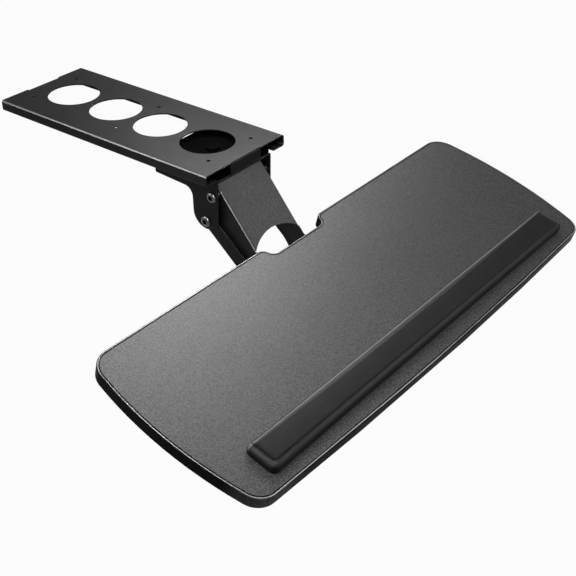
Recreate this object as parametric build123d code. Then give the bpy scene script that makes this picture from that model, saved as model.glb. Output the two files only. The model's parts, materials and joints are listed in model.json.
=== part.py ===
from build123d import *
import math
import os

# Keyboard tray that hangs on an arm under a desk.
# Sizes are millimetres. X runs to the user's right, Y to the back of the desk and Z up.
# The origin is the middle of the track's top face, which lies against the underside of the desk.
# The track carries a carriage, the carriage a bracket that turns, the bracket an upper arm and
# two lower links, these an upright coupler, and the coupler the tray, which tilts.

# Fits and overruns
FIT = 0.05            # radial clearance of a shaft in its hole
OPEN_FIT = 0.35       # radial clearance where the links' loop closes
SEAT_GAP = 0.1        # gap between flat faces that turn on each other
RUN_GAP = 0.3         # gap round a block that slides in its channel
OVERRUN = 5.0         # how far a cutting solid runs past the face that it cuts
SIDES = {"left": -1, "right": 1}

# Track, one steel pressing with a channel along each side
TRACK_LENGTH = 443.0
TRACK_WIDTH = 175.0
TRACK_HEIGHT = 18.0
TRACK_SHEET = 2.0
TRACK_LIP = 25.0
TRACK_BEND = 4.0
ROUND_HOLES = 4
ROUND_HOLE_R = 42.0
ROUND_HOLE_PITCH = 97.4
DESK_HOLE_R = 3.0
DESK_HOLE_SPAN_X = 94.0
DESK_HOLE_SPAN_Y = 381.0
STOP_TAB_WIDTH = 66.0

# Stop buffers and runner strips, which stay in the track
BUFFER_WIDTH = 40.0
BUFFER_HEIGHT = 9.0
BUFFER_THICK = 3.0
BUFFER_TOP = 4.5
RUNNER_WIDTH = 18.0
RUNNER_THICK = 1.2
RUNNER_END_INSET = 4.0

# Carriage
CARRIAGE_LENGTH = 120.0
CARRIAGE_SHEET = 3.0
CARRIAGE_DROP = 8.5
CARRIAGE_EDGE_INSET = 4.5
CARRIAGE_CORNER_R = 8.0
FLANGE_LIP_GAP = 4.5
FLANGE_SWING_GAP = 1.5
GLIDE_LENGTH = 26.0
GLIDE_WIDTH = 21.0
GLIDE_EDGE_R = 2.0
SWIVEL_FROM_FRONT = 65.0
SWIVEL_DISC_R = 36.0
SWIVEL_BOLT_R = 5.0
SWIVEL_BOLT_PROUD = 2.0
SWIVEL_HEAD_R = 10.0
SWIVEL_HEAD_HEIGHT = 4.0
SWIVEL_WASHER_R = 13.0
SWIVEL_WASHER_THICK = 2.0
SWIVEL_NUT_ACROSS = 17.0
SWIVEL_NUT_HEIGHT = 8.0

# Swivel bracket, a folded channel whose ears hold the arm
BRACKET_BELOW_TRACK = 3.0
BRACKET_FRONT_INSET = 4.0
BRACKET_LENGTH = 124.0
BRACKET_EAR_GAP = 1.0     # between a lower link and the ear beside it
BRACKET_SHEET = 3.0
BRACKET_BEND = 3.0
FLANGE_REAR_DROP = 20.7
FLANGE_FRONT_DROP = 24.5
FLANGE_CORNER_R = 2.0
EAR_REACH = 50.0
EAR_DROP = 85.0
EAR_SOLE = 27.0
EAR_TOE_RISE = 11.0
EAR_TOE_INSET = 2.0
EAR_HEEL_R = 25.0
EAR_THROAT_R = 15.0
EAR_TOE_R = 6.0

# Pivots of the parallel links, in the pose that the model stands in
UPPER_PIVOT_FROM_FRONT = 15.0
UPPER_PIVOT_DROP = 48.8
LOWER_PIVOT_BACK = 14.3
LOWER_PIVOT_DROP = 44.0
ARM_LENGTH = 142.0
ARM_ANGLE = 46.5          # degrees below level, along the line of the pivots

# Fasteners of the links
BOLT_R = 4.0
BOLT_HEAD_R = 8.4
BOLT_HEAD_HEIGHT = 4.6
BOLT_HEAD_RIM = 1.6
BOLT_CROWN_R = 5.6
SOCKET_ACROSS = 7.5
SOCKET_DEPTH = 2.6
LOCK_NUT_ACROSS = 13.0
LOCK_NUT_HEIGHT = 6.0
THIN_NUT_HEIGHT = 4.2
CLINCH_NUT_R = 7.5
CLINCH_NUT_HEIGHT = 2.6
BUSH_R = 8.0
SPACER_R = 6.5
LINK_WASHER_R = 9.0
EYE_R = 12.0

# Upper arm, a deep channel with its web on top
ARM_WIDTH = 101.0
ARM_SHEET = 2.5
ARM_BEND = 3.0
COVER_ANGLE = 50.9        # degrees below level, along the web
COVER_RISE = 10.8
COVER_BACK = 12.0
COVER_CUT_APEX = 81.7
COVER_CUT_R = 76.0
NECK_FROM = 118.0
NECK_R = 13.0
ARM_CORNER_R = 8.0
BELLY_FROM = 32.0
BELLY_DEPTH = 35.0
HEEL_DEPTH = 15.0
CHIN_FROM = 124.0
CHIN_DEPTH = 18.0

# Lower links, flat bars with a slight knee
LINK_SHEET = 3.0
LINK_ARM_GAP = 3.5        # between the upper arm and a link
LINK_ANGLE = 40.7         # degrees below level, from the rear pivot to the knee
LINK_KNEE = 82.0
LINK_KNEE_R = 30.0

# Coupler, an upright folded piece that joins the links' front ends
COUPLER_SHEET = 3.0
COUPLER_BEND = 3.0
COUPLER_WEB_FROM = 16.0
COUPLER_WEB_LENGTH = 24.0
COUPLER_GAP = 0.2         # between the arm's wall and the coupler's

# Clamp rod through the front upper pivot, with its hand knob
ROD_R = 4.0
ROD_HEAD_R = 8.0
ROD_HEAD_HEIGHT = 4.5
ROD_PROUD = 1.5
CLAMP_WASHER_R = 11.0
CLAMP_WASHER_THICK = 0.9
CLAMP_SLEEVE_R = 7.0
CLAMP_SLEEVE_LENGTH = 7.7
KNOB_HUB_R = 10.0
KNOB_HUB_LENGTH = 5.0
KNOB_R = 21.0
KNOB_THICK = 16.0
KNOB_LOBES = 6
KNOB_LOBE_R = 5.5
KNOB_CORE_R = 16.0
KNOB_VALLEY_R = 3.0
KNOB_CROWN = 3.0

# Tray, whose own frame starts at the middle of the back edge of the top face
TRAY_TILT = 15.7          # degrees, with the back edge up
TRAY_AXIS_FORWARD = 16.9  # from the back edge forward to the tilt axis
TRAY_AXIS_BELOW = 48.7    # from the top face down to the tilt axis
TRAY_WIDTH = 830.0
TRAY_DEPTH = 295.6
TRAY_THICK = 18.0
TRAY_END_BOW = 17.4
TRAY_FRONT_BOW = 7.7
TRAY_BACK_CORNER_R = 34.0
TRAY_FRONT_CORNER_R = 30.0
NOTCH_SIDE_GAP = 6.5      # between the arm and the notch, at the notch's floor
NOTCH_SPLAY = 6.5
NOTCH_DEPTH = 18.5
NOTCH_R = 13.0
BAND_THICK = 2.4
BAND_EDGE = 0.9
TOP_SHEET_THICK = 1.0
RIM_GROOVE = 0.7

# Tilt bracket under the tray
TILT_SHEET = 3.0
TILT_PLATE_WIDTH = 150.0
TILT_PLATE_LENGTH = 124.0
TILT_PLATE_INSET = 26.0
TILT_PLATE_CORNER_R = 12.0
TILT_EAR_R = 11.0
TILT_EAR_LENGTH = 74.0
PLATE_SCREW_R = 2.4
PLATE_SCREW_HEAD_R = 4.6
PLATE_SCREW_HEAD_HEIGHT = 2.4
PLATE_SCREW_DEPTH = 11.0
PLATE_SCREW_INSET = 12.0
PLATE_SCREW_ROWS = 3

# Wrist rest, a padded bar on a flat base
REST_LENGTH = 718.0
REST_FRONT_INSET = 24.1   # from the tray's front edge to the front of the rest
REST_DEPTH = 51.0
REST_HEIGHT = 16.0
REST_BASE_THICK = 3.0
REST_BASE_INSET = 1.5
REST_BACK_LEAN = 4.2
REST_BACK_EDGE_R = 1.6
REST_CROWN = 0.6
REST_CROWN_R = 90.0
REST_ROUND_R = 8.0
REST_CORNER_R = 9.0
REST_SCREWS = 4
REST_SCREW_END_INSET = 59.0
REST_SCREW_R = 2.0
REST_SCREW_HEAD_R = 4.2
REST_SCREW_HEAD_HEIGHT = 2.4

# Places that several pieces share
FRONT_Y = -TRACK_LENGTH / 2
WALL_INNER = TRACK_WIDTH / 2 - TRACK_SHEET
RUNNER_TOP = -TRACK_HEIGHT + TRACK_SHEET + RUNNER_THICK
CARRIAGE_TOP = -CARRIAGE_DROP
CARRIAGE_LOW = CARRIAGE_TOP - CARRIAGE_SHEET
CARRIAGE_FRONT_Y = FRONT_Y + TRACK_SHEET + BUFFER_THICK + RUN_GAP
CARRIAGE_Y = CARRIAGE_FRONT_Y + CARRIAGE_LENGTH / 2
SWIVEL_Y = FRONT_Y + SWIVEL_FROM_FRONT
BRACKET_TOP = -TRACK_HEIGHT - BRACKET_BELOW_TRACK
BRACKET_LOW = BRACKET_TOP - BRACKET_SHEET
SWIVEL_WASHER_TOP = BRACKET_LOW - SEAT_GAP
SWIVEL_NUT_TOP = SWIVEL_WASHER_TOP - SWIVEL_WASHER_THICK
SWIVEL_NUT_LOW = SWIVEL_NUT_TOP - SWIVEL_NUT_HEIGHT

# The foot of the wrist rest's back, from the tray's back edge
REST_INSET = TRAY_DEPTH - REST_FRONT_INSET - REST_DEPTH

# Distances from the middle of the arm
ARM_OUTER = ARM_WIDTH / 2
LINK_INNER = ARM_OUTER + LINK_ARM_GAP
LINK_OUTER = LINK_INNER + LINK_SHEET
EAR_INNER = LINK_OUTER + BRACKET_EAR_GAP
EAR_OUTER = EAR_INNER + BRACKET_SHEET
ARM_INNER = ARM_OUTER - ARM_SHEET
COUPLER_OUTER = ARM_INNER - COUPLER_GAP
COUPLER_INNER = COUPLER_OUTER - COUPLER_SHEET
TILT_EAR_OUTER = COUPLER_INNER - CLAMP_WASHER_THICK - 2 * SEAT_GAP
TILT_EAR_INNER = TILT_EAR_OUTER - TILT_SHEET
SLEEVE_END = ARM_OUTER + SEAT_GAP + CLAMP_SLEEVE_LENGTH
KNOB_START = SLEEVE_END + 2 * SEAT_GAP
KNOB_END = KNOB_START + KNOB_HUB_LENGTH + KNOB_THICK


def down_arm(start, along, above, angle):
    """A point (y, z) along a line that falls forward from another point, and above the line."""
    slope = math.radians(angle)
    return (start[0] - along * math.cos(slope) - above * math.sin(slope),
            start[1] - along * math.sin(slope) + above * math.cos(slope))


def fall_angle(start, end):
    """Degrees below level of the line that falls forward from one point (y, z) to another."""
    return math.degrees(math.atan2(start[1] - end[1], start[0] - end[0]))


# The four pivots and the tilt axis, as points (y, z) of the side view
UPPER_PIVOT = (FRONT_Y + UPPER_PIVOT_FROM_FRONT, -UPPER_PIVOT_DROP)
LOWER_PIVOT = (UPPER_PIVOT[0] + LOWER_PIVOT_BACK, UPPER_PIVOT[1] - LOWER_PIVOT_DROP)
TILT_AXIS = down_arm(UPPER_PIVOT, ARM_LENGTH, 0, ARM_ANGLE)
FRONT_LOWER_PIVOT = down_arm(LOWER_PIVOT, ARM_LENGTH, 0, ARM_ANGLE)
COUPLER_ANGLE = fall_angle(TILT_AXIS, FRONT_LOWER_PIVOT)
COUPLER_LENGTH = math.hypot(LOWER_PIVOT_BACK, LOWER_PIVOT_DROP)
TRAY_BACK_EDGE = down_arm(TILT_AXIS, -TRAY_AXIS_FORWARD, TRAY_AXIS_BELOW, TRAY_TILT)
TRAY_PLACE = Location((0, TRAY_BACK_EDGE[0], TRAY_BACK_EDGE[1]), (TRAY_TILT, 0, 0))
TRAY_TILT_AXIS = (-TRAY_AXIS_FORWARD, -TRAY_AXIS_BELOW)


def outline(*corners):
    """A face whose corners are (a, b, rounding radius)."""
    points = [(a, b) for a, b, radius in corners]
    radii = [radius for a, b, radius in corners]
    return make_face(FilletPolyline(*points, radius=radii, close=True))


def from_side(face, start, end):
    """A face drawn in Y and Z, extruded from one X to another."""
    plane = Plane(origin=(start, 0, 0), x_dir=(0, 1, 0), z_dir=(1, 0, 0))
    return extrude(plane * face, amount=end - start)


def from_side_at(face, side, inner, outer):
    """A face drawn in Y and Z, extruded between two distances from the middle, on one side."""
    start, end = sorted((side * inner, side * outer))
    return from_side(face, start, end)


def disc(radius, at):
    """A round face in the side view."""
    return Pos(at[0], at[1]) * Circle(radius)


def ring(radius, bore, at):
    """A round face with a round hole, in the side view."""
    return disc(radius, at) - disc(bore, at)


def slab(width, length, bottom, top, x=0.0, y=0.0, corner=0.0):
    """A flat block between two heights, with upright corners that may be rounded."""
    face = RectangleRounded(width, length, corner) if corner else Rectangle(width, length)
    return Pos(x, y, bottom) * extrude(face, amount=top - bottom)


def upright(radius, bottom, top, x=0.0, y=0.0):
    """An upright cylinder between two heights."""
    return Pos(x, y, bottom) * extrude(Circle(radius), amount=top - bottom)


def across(radius, width, at):
    """A cylinder along X, centred on the middle, which bores a hole in both walls."""
    return from_side(disc(radius, at), -width / 2, width / 2)


def folded_web(width, sheet, bend, start, angle, rise, along, length):
    """The web of a channel with its two bends, along a line that falls forward."""
    outer = fillet(Rectangle(width, 2 * bend).vertices().group_by(Axis.Y)[-1], bend)
    inner = Pos(0, -sheet) * Rectangle(width - 2 * sheet, 2 * bend)
    if bend > sheet:
        inner = fillet(inner.vertices().group_by(Axis.Y)[-1], bend - sheet)
    section = Pos(0, rise - bend) * (outer - inner)
    slope = math.radians(angle)
    origin = down_arm(start, along, 0, angle)
    plane = Plane(origin=(0, origin[0], origin[1]), x_dir=(1, 0, 0),
                  z_dir=(0, -math.cos(slope), -math.sin(slope)))
    return extrude(plane * section, amount=length)


def button_head(side, seat, at, radius, height):
    """A button head with a hexagonal socket, seated on a face at a distance from the middle."""
    crown = Polyline((0, 0), (0, radius), (BOLT_HEAD_RIM, radius), (height, BOLT_CROWN_R), (height, 0),
                     close=True)
    head = revolve(make_face(crown), Axis.X)
    socket = from_side(RegularPolygon(SOCKET_ACROSS / 2, 6, major_radius=False),
                       height - SOCKET_DEPTH, height + OVERRUN)
    head = head - socket
    if side < 0:
        head = mirror(head, about=Plane.YZ)
    return Pos(side * seat, at[0], at[1]) * head


def bolt(side, seat, inner_end, at):
    """A button-head bolt across the arm, from its seat inwards."""
    head = button_head(side, seat, at, BOLT_HEAD_R, BOLT_HEAD_HEIGHT)
    return head + from_side_at(disc(BOLT_R, at), side, inner_end, seat)


def hexagon_nut(side, inner, outer, at):
    """A hexagonal nut on a bolt across the arm."""
    face = Pos(at[0], at[1]) * RegularPolygon(LOCK_NUT_ACROSS / 2, 6, major_radius=False)
    return from_side_at(face - disc(BOLT_R + FIT, at), side, inner, outer)


def collar(side, radius, inner, outer, at):
    """A bush, spacer or washer on a bolt across the arm."""
    return from_side_at(ring(radius, BOLT_R + FIT, at), side, inner, outer)


def desk_hole_places():
    """The middles of the screw holes, in three rows of two."""
    return [(side * DESK_HOLE_SPAN_X / 2, row * DESK_HOLE_SPAN_Y / 2)
            for row in (-1, 0, 1) for side in (-1, 1)]


def make_track_plate():
    section = fillet(Rectangle(TRACK_WIDTH, TRACK_HEIGHT).vertices(), TRACK_BEND)
    hollow = Rectangle(2 * WALL_INNER, TRACK_HEIGHT - 2 * TRACK_SHEET)
    hollow = fillet(hollow.vertices(), TRACK_BEND - TRACK_SHEET)
    mouth = Pos(0, -TRACK_HEIGHT / 2) * Rectangle(TRACK_WIDTH - 2 * TRACK_LIP, TRACK_HEIGHT)
    section = Pos(0, -TRACK_HEIGHT / 2) * (section - hollow - mouth)
    track = extrude(Plane.XZ * section, amount=TRACK_LENGTH / 2, both=True)
    gap = slab(STOP_TAB_WIDTH, 2 * TRACK_BEND, -TRACK_SHEET - OVERRUN, OVERRUN, y=FRONT_Y)
    track = track - gap - mirror(gap, about=Plane.XZ)
    track = track + make_stop_tab() + mirror(make_stop_tab(), about=Plane.XZ)
    for index in range(ROUND_HOLES):
        place = (index - (ROUND_HOLES - 1) / 2) * ROUND_HOLE_PITCH
        track = track - upright(ROUND_HOLE_R, -TRACK_SHEET - OVERRUN, OVERRUN, y=place)
    for x, y in desk_hole_places():
        track = track - upright(DESK_HOLE_R, -TRACK_SHEET - OVERRUN, OVERRUN, x, y)
    return track


def make_stop_tab():
    """The tongue folded down in the middle of the front edge, which stops the carriage."""
    root = FRONT_Y + 2 * TRACK_BEND
    profile = outline(
        (root, 0, 0),
        (FRONT_Y, 0, TRACK_BEND),
        (FRONT_Y, -TRACK_HEIGHT, 0),
        (FRONT_Y + TRACK_SHEET, -TRACK_HEIGHT, 0),
        (FRONT_Y + TRACK_SHEET, -TRACK_SHEET, TRACK_BEND - TRACK_SHEET),
        (root, -TRACK_SHEET, 0),
    )
    return from_side(profile, -STOP_TAB_WIDTH / 2, STOP_TAB_WIDTH / 2)


def make_stop_buffer(end):
    """A rubber block on the inner face of a stop tab, at the front (-1) or the rear (1)."""
    place = end * (TRACK_LENGTH / 2 - TRACK_SHEET - BUFFER_THICK / 2)
    return slab(BUFFER_WIDTH, BUFFER_THICK, -BUFFER_TOP - BUFFER_HEIGHT, -BUFFER_TOP, y=place)


def make_runner_strip(side):
    """A plastic strip along a lip of the track, on which the glides run."""
    middle = WALL_INNER - (TRACK_BEND - TRACK_SHEET) - RUNNER_WIDTH / 2
    length = TRACK_LENGTH - 2 * RUNNER_END_INSET
    return slab(RUNNER_WIDTH, length, RUNNER_TOP - RUNNER_THICK, RUNNER_TOP, x=side * middle)


def make_carriage_plate():
    """The sliding plate, with its front edge folded down between the lips of the track."""
    width = 2 * (WALL_INNER - CARRIAGE_EDGE_INSET)
    plate = slab(width, CARRIAGE_LENGTH, CARRIAGE_LOW, CARRIAGE_TOP, y=CARRIAGE_Y, corner=CARRIAGE_CORNER_R)
    flange_width = TRACK_WIDTH - 2 * TRACK_LIP - 2 * FLANGE_LIP_GAP
    flange = slab(flange_width, CARRIAGE_SHEET, BRACKET_TOP + FLANGE_SWING_GAP, CARRIAGE_LOW,
                  y=CARRIAGE_FRONT_Y + CARRIAGE_SHEET / 2)
    bore = upright(SWIVEL_BOLT_R + FIT, CARRIAGE_LOW - OVERRUN, CARRIAGE_TOP + OVERRUN, y=SWIVEL_Y)
    return plate + flange - bore


def make_carriage_glide(side, end):
    """A plastic block slotted over the edge of the carriage plate."""
    top = -TRACK_SHEET - RUN_GAP
    bottom = RUNNER_TOP + RUN_GAP
    outer = WALL_INNER - RUN_GAP
    place = CARRIAGE_Y + end * (CARRIAGE_LENGTH - GLIDE_LENGTH) / 2 - end * CARRIAGE_CORNER_R
    section = Pos(side * (outer - GLIDE_WIDTH / 2), (top + bottom) / 2) * RectangleRounded(
        GLIDE_WIDTH, top - bottom, GLIDE_EDGE_R)
    glide = Pos(0, place, 0) * extrude(Plane.XZ * section, amount=GLIDE_LENGTH / 2, both=True)
    width = 2 * (WALL_INNER - CARRIAGE_EDGE_INSET)
    return glide - slab(width, CARRIAGE_LENGTH, CARRIAGE_LOW, CARRIAGE_TOP, y=CARRIAGE_Y)


def make_swivel_disc():
    face = Circle(SWIVEL_DISC_R) - Circle(SWIVEL_BOLT_R + FIT)
    low = BRACKET_TOP + SEAT_GAP
    return Pos(0, SWIVEL_Y, low) * extrude(face, amount=CARRIAGE_LOW - low)


def make_swivel_bolt():
    head = upright(SWIVEL_HEAD_R, CARRIAGE_TOP, CARRIAGE_TOP + SWIVEL_HEAD_HEIGHT, y=SWIVEL_Y)
    return head + upright(SWIVEL_BOLT_R, SWIVEL_NUT_LOW - SWIVEL_BOLT_PROUD, CARRIAGE_TOP, y=SWIVEL_Y)


def make_swivel_washer():
    face = Circle(SWIVEL_WASHER_R) - Circle(SWIVEL_BOLT_R + FIT)
    return Pos(0, SWIVEL_Y, SWIVEL_NUT_TOP) * extrude(face, amount=SWIVEL_WASHER_THICK)


def make_swivel_nut():
    face = RegularPolygon(SWIVEL_NUT_ACROSS / 2, 6, major_radius=False) - Circle(SWIVEL_BOLT_R + FIT)
    return Pos(0, SWIVEL_Y, SWIVEL_NUT_LOW) * extrude(face, amount=SWIVEL_NUT_HEIGHT)


def make_swivel_bracket():
    front = FRONT_Y + BRACKET_FRONT_INSET
    rear = front + BRACKET_LENGTH
    ear_rear = front + EAR_REACH
    ear_low = BRACKET_TOP - EAR_DROP
    profile = outline(
        (front, BRACKET_TOP, 0),
        (rear, BRACKET_TOP, 0),
        (rear, BRACKET_TOP - FLANGE_REAR_DROP, FLANGE_CORNER_R),
        (ear_rear, BRACKET_TOP - FLANGE_FRONT_DROP, EAR_THROAT_R),
        (ear_rear, ear_low, EAR_HEEL_R),
        (ear_rear - EAR_SOLE, ear_low, EAR_TOE_R),
        (front + EAR_TOE_INSET, ear_low + EAR_TOE_RISE, EAR_TOE_R),
    )
    bracket = from_side(profile, -EAR_OUTER, EAR_OUTER)
    bracket = fillet(bracket.edges().filter_by(Axis.Y).group_by(Axis.Z)[-1], BRACKET_BEND)
    middle = (front + rear) / 2
    length = BRACKET_LENGTH + 2 * OVERRUN
    bracket = bracket - slab(2 * EAR_INNER, length, ear_low - OVERRUN, BRACKET_LOW, y=middle)
    bore = upright(SWIVEL_BOLT_R + FIT, BRACKET_LOW - OVERRUN, BRACKET_TOP + OVERRUN, y=SWIVEL_Y)
    bracket = bracket - bore
    for pivot in (UPPER_PIVOT, LOWER_PIVOT):
        bracket = bracket - across(BOLT_R + FIT, 2 * EAR_OUTER + OVERRUN, pivot)
    return bracket


def make_upper_arm():
    def place(along, above, radius):
        y, z = down_arm(UPPER_PIVOT, along, above, COVER_ANGLE)
        return y, z, radius

    lean = math.radians(COVER_ANGLE - ARM_ANGLE)
    eye_along, eye_above = ARM_LENGTH * math.cos(lean), ARM_LENGTH * math.sin(lean)
    cut_centre = COVER_CUT_APEX + COVER_CUT_R
    cover_end = cut_centre - math.sqrt(COVER_CUT_R ** 2 - ARM_OUTER ** 2)
    wall = outline(
        place(-COVER_BACK, COVER_RISE - ARM_BEND, 0),
        place(cover_end, COVER_RISE - ARM_BEND, 0),
        place(cover_end, COVER_RISE, 0),
        place(NECK_FROM, COVER_RISE, NECK_R),
        place(eye_along - EYE_R, eye_above + EYE_R, ARM_CORNER_R),
        place(eye_along + EYE_R, eye_above + EYE_R, ARM_CORNER_R),
        place(eye_along + EYE_R, eye_above - EYE_R, ARM_CORNER_R),
        place(CHIN_FROM, -CHIN_DEPTH, ARM_CORNER_R),
        place(BELLY_FROM, -BELLY_DEPTH, ARM_CORNER_R),
        place(-COVER_BACK, -HEEL_DEPTH, ARM_CORNER_R),
    )
    arm = folded_web(ARM_WIDTH, ARM_SHEET, ARM_BEND, UPPER_PIVOT, COVER_ANGLE, COVER_RISE,
                     -COVER_BACK, COVER_BACK + cover_end)
    slope = math.radians(COVER_ANGLE)
    centre = down_arm(UPPER_PIVOT, cut_centre, -OVERRUN, COVER_ANGLE)
    cut_plane = Plane(origin=(0, centre[0], centre[1]), x_dir=(1, 0, 0),
                      z_dir=(0, -math.sin(slope), math.cos(slope)))
    arm = arm - extrude(cut_plane * Circle(COVER_CUT_R), amount=COVER_RISE + 2 * OVERRUN)
    for side in SIDES.values():
        arm = arm + from_side_at(wall, side, ARM_INNER, ARM_OUTER)
    arm = arm - across(BOLT_R + FIT, ARM_WIDTH + OVERRUN, UPPER_PIVOT)
    return arm - across(ROD_R + FIT, ARM_WIDTH + OVERRUN, TILT_AXIS)


def make_upper_pivot_bolt(side):
    return bolt(side, EAR_OUTER, ARM_INNER - LOCK_NUT_HEIGHT, UPPER_PIVOT)


def make_upper_pivot_bush(side):
    return collar(side, BUSH_R, ARM_OUTER + SEAT_GAP, EAR_INNER, UPPER_PIVOT)


def make_upper_pivot_nut(side):
    return hexagon_nut(side, ARM_INNER - LOCK_NUT_HEIGHT, ARM_INNER - SEAT_GAP, UPPER_PIVOT)


def make_lower_pivot_bolt(side):
    return bolt(side, EAR_OUTER, LINK_INNER - CLINCH_NUT_HEIGHT, LOWER_PIVOT)


def make_lower_pivot_washer(side):
    return collar(side, LINK_WASHER_R, LINK_OUTER + SEAT_GAP, EAR_INNER, LOWER_PIVOT)


def make_lower_pivot_nut(side):
    return collar(side, CLINCH_NUT_R, LINK_INNER - CLINCH_NUT_HEIGHT, LINK_INNER - SEAT_GAP, LOWER_PIVOT)


def make_lower_link(side):
    """A flat bar between the lower pivots, with its knee nearer to the front."""
    knee = down_arm(LOWER_PIVOT, LINK_KNEE, 0, LINK_ANGLE)
    front_angle = fall_angle(knee, FRONT_LOWER_PIVOT)
    shift = EYE_R * math.tan(math.radians(front_angle - LINK_ANGLE) / 2)
    bar = outline(
        (*down_arm(LOWER_PIVOT, 0, EYE_R, LINK_ANGLE), 0),
        (*down_arm(knee, shift, EYE_R, LINK_ANGLE), LINK_KNEE_R),
        (*down_arm(FRONT_LOWER_PIVOT, 0, EYE_R, front_angle), 0),
        (*down_arm(FRONT_LOWER_PIVOT, 0, -EYE_R, front_angle), 0),
        (*down_arm(knee, -shift, -EYE_R, LINK_ANGLE), LINK_KNEE_R),
        (*down_arm(LOWER_PIVOT, 0, -EYE_R, LINK_ANGLE), 0),
    )
    bar = bar + disc(EYE_R, LOWER_PIVOT) + disc(EYE_R, FRONT_LOWER_PIVOT)
    bar = bar - disc(BOLT_R + FIT, LOWER_PIVOT) - disc(BOLT_R + OPEN_FIT, FRONT_LOWER_PIVOT)
    return from_side_at(bar, side, LINK_INNER, LINK_OUTER)


def make_front_link():
    """The coupler: two walls with round ends, joined by a web in front of the lower half."""
    def place(along, above):
        return (*down_arm(TILT_AXIS, along, above, COUPLER_ANGLE), 0)

    wall = outline(place(0, EYE_R), place(COUPLER_LENGTH, EYE_R),
                   place(COUPLER_LENGTH, -EYE_R), place(0, -EYE_R))
    wall = wall + disc(EYE_R, TILT_AXIS) + disc(EYE_R, FRONT_LOWER_PIVOT)
    wall = wall - disc(ROD_R + FIT, TILT_AXIS) - disc(BOLT_R + FIT, FRONT_LOWER_PIVOT)
    coupler = folded_web(2 * COUPLER_OUTER, COUPLER_SHEET, COUPLER_BEND, TILT_AXIS, COUPLER_ANGLE,
                         EYE_R + COUPLER_BEND, COUPLER_WEB_FROM, COUPLER_WEB_LENGTH)
    for side in SIDES.values():
        coupler = coupler + from_side_at(wall, side, COUPLER_INNER, COUPLER_OUTER)
    return coupler


def make_front_lower_bolt(side):
    return bolt(side, LINK_OUTER + SEAT_GAP, COUPLER_INNER - THIN_NUT_HEIGHT, FRONT_LOWER_PIVOT)


def make_front_lower_spacer(side):
    return collar(side, SPACER_R, COUPLER_OUTER, LINK_INNER - SEAT_GAP, FRONT_LOWER_PIVOT)


def make_front_lower_nut(side):
    return hexagon_nut(side, COUPLER_INNER - THIN_NUT_HEIGHT, COUPLER_INNER, FRONT_LOWER_PIVOT)


def make_clamp_rod():
    """The rod that clamps the tilt, with a flat head on its left end."""
    seat = ARM_OUTER + SEAT_GAP
    head = from_side(disc(ROD_HEAD_R, TILT_AXIS), -seat - ROD_HEAD_HEIGHT, -seat)
    return head + from_side(disc(ROD_R, TILT_AXIS), -seat, KNOB_END + ROD_PROUD)


def make_clamp_washer(side):
    washer = ring(CLAMP_WASHER_R, ROD_R + FIT, TILT_AXIS)
    return from_side_at(washer, side, TILT_EAR_OUTER + SEAT_GAP, COUPLER_INNER - SEAT_GAP)


def make_clamp_sleeve():
    return from_side(ring(CLAMP_SLEEVE_R, ROD_R + FIT, TILT_AXIS), ARM_OUTER + SEAT_GAP, SLEEVE_END)


def make_clamp_knob():
    """A hand knob with round lobes, on the right end of the clamp rod."""
    grip = Circle(KNOB_CORE_R) + PolarLocations(KNOB_R - KNOB_LOBE_R, KNOB_LOBES) * Circle(KNOB_LOBE_R)
    grip = fillet(grip.vertices(), KNOB_VALLEY_R)
    blank = from_side(Circle(KNOB_R), KNOB_END - KNOB_THICK, KNOB_END)
    blank = chamfer(blank.edges().group_by(Axis.X)[-1], KNOB_CROWN)
    knob = from_side(grip, KNOB_END - KNOB_THICK, KNOB_END) & blank
    knob = knob + from_side(Circle(KNOB_HUB_R), KNOB_START, KNOB_END - KNOB_THICK)
    knob = Pos(0, TILT_AXIS[0], TILT_AXIS[1]) * knob
    return knob - from_side(disc(ROD_R + FIT, TILT_AXIS), KNOB_START - OVERRUN, KNOB_END + OVERRUN)


def tray_outline(inset=0.0):
    """The tray from above, with bowed ends and front and a notch for the arm, or an inset copy."""
    corner = TRAY_WIDTH / 2 - TRAY_END_BOW
    side_depth = TRAY_DEPTH - TRAY_FRONT_BOW
    front_r = (corner ** 2 + TRAY_FRONT_BOW ** 2) / (2 * TRAY_FRONT_BOW)
    end_r = ((side_depth / 2) ** 2 + TRAY_END_BOW ** 2) / (2 * TRAY_END_BOW)
    face = Pos(0, -inset - TRAY_DEPTH / 2) * Rectangle(TRAY_WIDTH, TRAY_DEPTH)
    face = face & Pos(0, front_r - TRAY_DEPTH) * Circle(front_r - inset)
    for side in SIDES.values():
        face = face & Pos(side * (TRAY_WIDTH / 2 - end_r), -side_depth / 2) * Circle(end_r - inset)
    face = fillet(face.vertices().group_by(Axis.Y)[-1], TRAY_BACK_CORNER_R - inset)
    face = fillet(corner_pair(face, corner - inset, inset - side_depth), TRAY_FRONT_CORNER_R - inset)
    lean = NOTCH_SPLAY / NOTCH_DEPTH
    growth = inset * (math.hypot(1, lean) - lean)
    floor = ARM_OUTER + NOTCH_SIDE_GAP + growth
    mouth = floor + NOTCH_SPLAY
    depth = NOTCH_DEPTH + inset
    notch = Polyline((-mouth, -inset), (mouth, -inset), (floor, -depth), (-floor, -depth), close=True)
    face = face - make_face(notch)
    face = fillet(corner_pair(face, mouth, -inset), NOTCH_R - inset)
    return fillet(corner_pair(face, floor, -depth), NOTCH_R + inset)


def corner_pair(face, x, y):
    """The two corners of a face that lie nearest to a point and to its mirror image."""
    return [face.vertices().sort_by_distance((side * x, y))[0] for side in SIDES.values()]


def rest_screw_places():
    """The middles of the wrist rest's screws, in one row in the tray's frame."""
    span = REST_LENGTH - 2 * REST_SCREW_END_INSET
    step = span / (REST_SCREWS - 1)
    row = -REST_INSET - REST_DEPTH / 2
    return [(index * step - span / 2, row) for index in range(REST_SCREWS)]


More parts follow.
